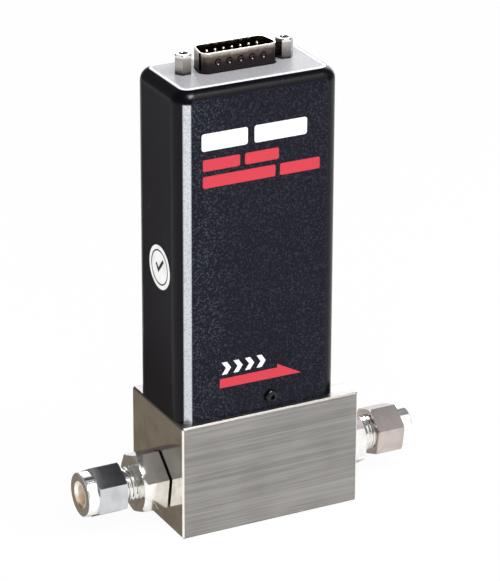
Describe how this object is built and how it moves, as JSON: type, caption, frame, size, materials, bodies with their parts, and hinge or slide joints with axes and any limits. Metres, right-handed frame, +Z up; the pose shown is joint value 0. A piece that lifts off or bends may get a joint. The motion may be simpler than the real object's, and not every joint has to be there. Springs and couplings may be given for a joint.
{
  "type": "mass flow controller",
  "caption": "Thermal gas mass flow controller: steel flow block with tube fittings at its ends, tall black cover over valve and electronics, D connector on top.",
  "frame": {"origin": "middle of the flow block's underside", "axes": "+X along the gas flow from inlet to outlet, -Y out of the cover's front, +Z up out of the connector"},
  "size_m": [0.1122, 0.0352, 0.1488],
  "materials": {
    "block_steel": "horizontally ground stainless steel with bright broken edges",
    "cover_paint": "black fine-textured semi-gloss powder coat",
    "polished_steel": "turned and polished stainless steel",
    "turned_steel": "fine-turned stainless steel",
    "blackened_steel": "black oxide screw",
    "spring_steel": "bright spring wire",
    "soft_iron": "plated magnetic iron",
    "black_rubber": "smooth black elastomer",
    "sintered_steel": "matt sintered metal",
    "shell_plate": "bright nickel-plated pressed sheet",
    "insulator_plastic": "black glass-filled moulding",
    "gold_contact": "gold-plated contacts",
    "board_laminate": "green solder mask on laminate",
    "bracket_sheet": "mill-finish folded aluminium sheet",
    "spacer_metal": "turned aluminium",
    "chip_plastic": "black package",
    "trimmer_plastic": "blue moulding",
    "capacitor_metal": "bright can",
    "coil_wire": "lacquered copper wire",
    "bobbin_plastic": "cream moulding",
    "yoke_steel": "zinc-plated steel strip"
  },
  "bodies": {
    "housing": {"base_block": "block_steel", "board_bracket": "bracket_sheet", "board_capacitors": "capacitor_metal", "board_chips": "chip_plastic", "board_header": "chip_plastic", "board_screws": "turned_steel", "board_spacers": "spacer_metal", "board_trimmers": "trimmer_plastic", "bracket_screws": "turned_steel", "bypass_element": "turned_steel", "bypass_retainer": "spring_steel", "circuit_board": "board_laminate", "coil_bobbin": "bobbin_plastic", "coil_winding": "coil_wire", "connector_insulator": "insulator_plastic", "connector_pins": "gold_contact", "connector_rear_shell": "shell_plate", "connector_shell": "shell_plate", "cover": "cover_paint", "cover_screw_back": "blackened_steel", "cover_screw_front": "blackened_steel", "front_lug": "bracket_sheet", "front_lug_screw": "turned_steel", "inlet_back_ferrule": "turned_steel", "inlet_filter": "sintered_steel", "inlet_fitting_body": "polished_steel", "inlet_front_ferrule": "turned_steel", "inlet_nut": "polished_steel", "inlet_port_ring": "black_rubber", "jackscrew_left": "polished_steel", "jackscrew_nuts": "turned_steel", "jackscrew_right": "polished_steel", "link_board": "board_laminate", "outlet_back_ferrule": "turned_steel", "outlet_fitting_body": "polished_steel", "outlet_front_ferrule": "turned_steel", "outlet_nut": "polished_steel", "outlet_port_ring": "black_rubber", "plunger_spring": "spring_steel", "sensor_base": "turned_steel", "sensor_cover": "bracket_sheet", "sensor_rings": "black_rubber", "sensor_screws": "blackened_steel", "sensor_tube": "turned_steel", "sensor_windings": "coil_wire", "valve_guide_tube": "turned_steel", "valve_nut": "turned_steel", "valve_orifice": "turned_steel", "valve_pole_piece": "soft_iron", "valve_ring": "black_rubber", "valve_yoke": "yoke_steel"},
    "plunger": {"valve_plunger": "soft_iron", "plunger_seal": "black_rubber"}
  },
  "joints": [
    {"name": "valve_lift", "type": "slide", "parent": "housing", "child": "plunger", "axis": [0, 0, 1], "range_m": [0, 0.00035], "stiffness_N_per_m": 1800, "springref_m": -0.0005, "deforming": ["plunger_spring"]}
  ]
}
